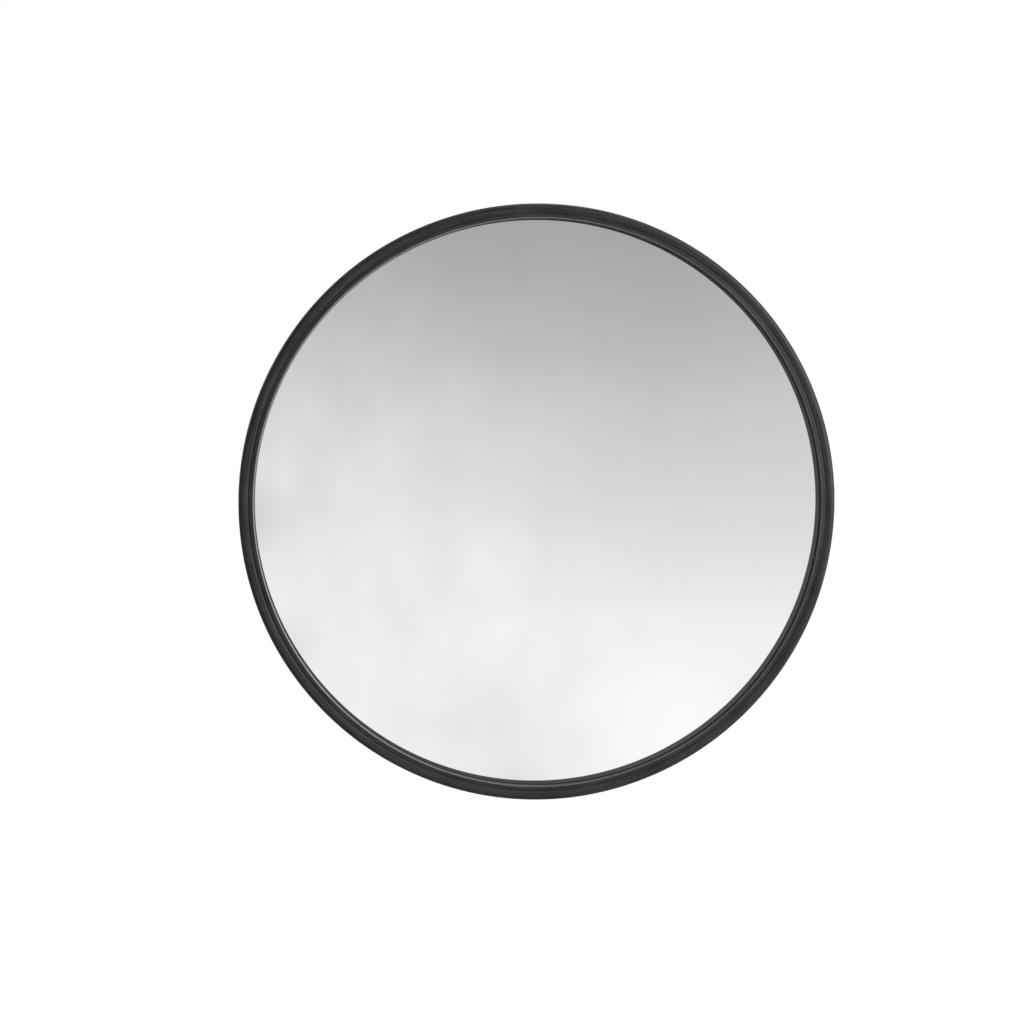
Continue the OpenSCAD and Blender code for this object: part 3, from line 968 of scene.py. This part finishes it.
def make_group(name, node, build, materials, spacing):
    """Four like fasteners at the head plate's corners, as one piece."""
    bm = bmesh.new()
    low, high = local_box(node, HEAD)
    for x, y in corners_of(*spacing):
        merge(bm, build(low.z, high.z), (x, y, 0))
    piece(name, bm, HEAD, "mirror_head", materials, [node])


# ---- the whole object ----

make_mirror()
make_trim()

washers_low, washers_high = local_box("stud_washers", HEAD)
washers_size = washers_high - washers_low
stud_spacing = (washers_size.x - 2 * STUD_WASHER_R, washers_size.y - 2 * STUD_WASHER_R)
make_plate("head_back_plate", "head_plate", HEAD, "mirror_head", stud_spacing, STUD_R + 0.25 * MM)
make_group("threaded_studs", "stud_bolts", stud, (zinc,), stud_spacing)
make_group("stud_flat_washers", "stud_washers", stud_washer, (zinc,), stud_spacing)
make_group("lock_nuts", "stud_nuts", nut, (zinc, nylon), stud_spacing)

make_yoke("head_clevis", "head_yoke", HEAD_YOKE, "mirror_head")
make_yoke("wall_clevis", "wall_yoke", WALL_YOKE, "wall_mount")
holes = next(mount["dims"] for mount in frame["record"]["mounts"] if mount["name"] == "wall_holes")
hole_spacing = (holes["spacing_x_mm"] * MM, holes["spacing_y_mm"] * MM)
make_plate("wall_back_plate", "wall_plate", WALL, "wall_mount", hole_spacing, holes["hole_r_mm"] * MM)

make_pivot("tilt", TILT, "mirror_head")
make_pivot("pan", PAN, "wall_mount")

dress("backing_board", board_fibre)
dress("stud_plate", zinc, 0.2 * MM)
dress("arm_tube", black_steel, 0.3 * MM)
dress("arm_front_plug", black_plastic, 0.4 * MM)
dress("arm_rear_plug", black_plastic, 0.4 * MM)


# ---- camera ----

VIEW_AZIMUTH = math.radians(-4)
VIEW_ELEVATION = math.radians(4.5)
VIEW_DISTANCE = 3.3
VIEW_WIDTH = 0.7815          # what the frame spans at the trim's front
AIM_RIGHT, AIM_UP = -0.02, -0.0065
SENSOR_W = 36                # in millimetres

camera = new_object("camera", bpy.data.cameras.new("camera"))
back = Vector((math.sin(VIEW_AZIMUTH) * math.cos(VIEW_ELEVATION),
               -math.cos(VIEW_AZIMUTH) * math.cos(VIEW_ELEVATION), math.sin(VIEW_ELEVATION)))
facing = (-back).to_track_quat("-Z", "Y")
mirror_centre = Vector((0, trim_low.y, 0))
aim = mirror_centre + facing @ Vector((AIM_RIGHT, AIM_UP, 0))
camera.location = aim + back * VIEW_DISTANCE
camera.rotation_mode = "QUATERNION"
camera.rotation_quaternion = facing
camera.data.sensor_width = SENSOR_W
camera.data.lens = SENSOR_W * VIEW_DISTANCE / VIEW_WIDTH
bpy.context.scene.camera = camera


# ---- studio ----

FLOOR_DROP = 0.8             # floor below the mirror's lowest point
FLOOR_R = 3.0
FLOOR_T = 0.02

# What the mirror sees, by direction: across and height run from -1 to 1, left to right and upwards.
# Tones as (height, tone)
LEFT_TONES = ((-1.0, 0.98), (-0.4, 0.98), (-0.2, 0.91), (0.0, 0.87), (0.2, 0.78), (0.4, 0.64),
              (0.7, 0.46), (1.0, 0.4))
RIGHT_TONES = ((-1.0, 1.05), (-0.65, 1.18), (-0.4, 0.98), (-0.2, 0.84), (0.0, 0.74), (0.2, 0.67),
               (0.4, 0.55), (0.7, 0.41), (1.0, 0.38))
# Soft patches as (across, height, reach, change of tone)
PATCHES = ((-0.05, -0.22, 0.2, 0.07), (-0.06, -0.68, 0.22, -0.06), (0.02, -0.88, 0.16, -0.13),
           (0.45, -0.72, 0.35, 0.09), (-0.76, -0.12, 0.16, -0.14), (-0.66, -0.5, 0.16, -0.12))
BEHIND_TONE = 0.66           # what the tones fall to behind the mirror


def make_floor():
    """Plain pale floor, a round sheet with a rolled edge."""
    look = Look("pale_floor", (0.86, 0.86, 0.86), 0.7)
    look.paint(look.mix_colour(look.noise(0.4, 3), (0.85, 0.85, 0.85), (0.87, 0.87, 0.87)))
    bm = bmesh.new()
    rows = [(0, 0), (0.5, 0), (FLOOR_R, 0), (FLOOR_R + FLOOR_T / 2, -FLOOR_T / 2), (FLOOR_R, -FLOOR_T)]
    rows += [(0, -FLOOR_T)]
    skin(bm, [ring(bm, 96, row) for row in rows])
    bm.transform(Matrix.Translation((0, 0, cad_box[0].z - FLOOR_DROP)))
    mesh = new_mesh("floor", bm)
    mesh.materials.append(look.material)
    floor = new_object("floor", mesh)
    floor.visible_glossy = False


def softbox(name, direction, distance, width, height, power, along=(1, 0, 0)):
    """Rectangular soft light that faces the mirror from a direction, its width along another."""
    light = bpy.data.lights.new(name, "AREA")
    light.shape = "RECTANGLE"
    light.size = width
    light.size_y = height
    light.energy = power
    obj = new_object(name, light)
    away = Vector(direction).normalized()
    across = Vector(along) - away * away.dot(Vector(along))
    across.normalize()
    obj.location = mirror_centre + away * distance
    obj.rotation_mode = "QUATERNION"
    obj.rotation_quaternion = Matrix((across, away.cross(across), away)).transposed().to_quaternion()


def make_world():
    """White room. What glossy surfaces reflect is darker above and bright below, with soft patches."""
    world = bpy.data.worlds.new("studio")
    bpy.context.scene.world = world
    room = Graph(world, "Generated")
    x, y, z = room.split(room.place)

    def bands(stops):
        """Tone by height. stops are (height, tone)."""
        ramp = room.node("ShaderNodeValToRGB")
        room.feed(ramp.inputs[0], room.math("MULTIPLY_ADD", z, 0.5, 0.5))
        band = ramp.color_ramp
        band.interpolation = "B_SPLINE"
        while len(band.elements) < len(stops):
            band.elements.new(0.5)
        for element, (height, tone) in zip(band.elements, stops):
            element.position = height * 0.5 + 0.5
            element.color = (tone, tone, tone, 1)
        return ramp.outputs["Color"]

    rightness = room.math("MULTIPLY_ADD", x, 1.25, 0.5)
    tones = room.mix_colour(rightness, bands(LEFT_TONES), bands(RIGHT_TONES))

    # clouds and upright streaks, stronger to the left
    leftness = room.math("MULTIPLY_ADD", x, -0.5, 0.5)
    upright = room.node("ShaderNodeVectorMath", operation="MULTIPLY")
    room.feed(upright.inputs[0], room.place)
    upright.inputs[1].default_value = (9, 9, 4)
    clouds = room.noise(1 / 3.2, 2.5)
    streaks = room.noise(1, 1.5, vector=upright.outputs[0])
    swings = []
    for haze, strength in ((clouds, 0.2), (streaks, 0.16)):
        swing = room.math("MULTIPLY", leftness, strength)
        swings.append(room.math("MULTIPLY", room.math("SUBTRACT", haze, 0.5), swing))
    change = room.math("ADD", *swings)
    for across, height, reach, patch in PATCHES:
        off = room.length(room.math("SUBTRACT", x, across), room.math("SUBTRACT", z, height))
        change = room.math("ADD", change, room.spread(off, 0, reach, patch, 0, "SMOOTHERSTEP"))

    behind = room.spread(y, -0.6, 0.2, 1, BEHIND_TONE, "SMOOTHERSTEP")
    glow = room.node("ShaderNodeVectorMath", operation="SCALE")
    room.feed(glow.inputs[0], tones)
    room.feed(glow.inputs["Scale"], room.math("MULTIPLY", room.math("ADD", change, 1), behind))
    glossy = room.node("ShaderNodeLightPath").outputs["Is Glossy Ray"]
    background = room.nodes["Background"]
    room.feed(background.inputs["Color"], room.mix_colour(glossy, (1, 1, 1), glow.outputs[0]))
    room.feed(background.inputs["Strength"], 1)


make_floor()
make_world()
softbox("key_light", (0.826, -0.477, 0.3), distance=4.0, width=2.6, height=0.35, power=370,
        along=(-0.34, 0, 0.94))
softbox("rim_light", (-0.75, 0.6, 0.35), distance=2.6, width=0.9, height=1.4, power=22)
softbox("top_light", (0.1, 0.35, 0.93), distance=2.4, width=1.4, height=1.0, power=30)
bpy.context.scene.view_settings.view_transform = "Standard"
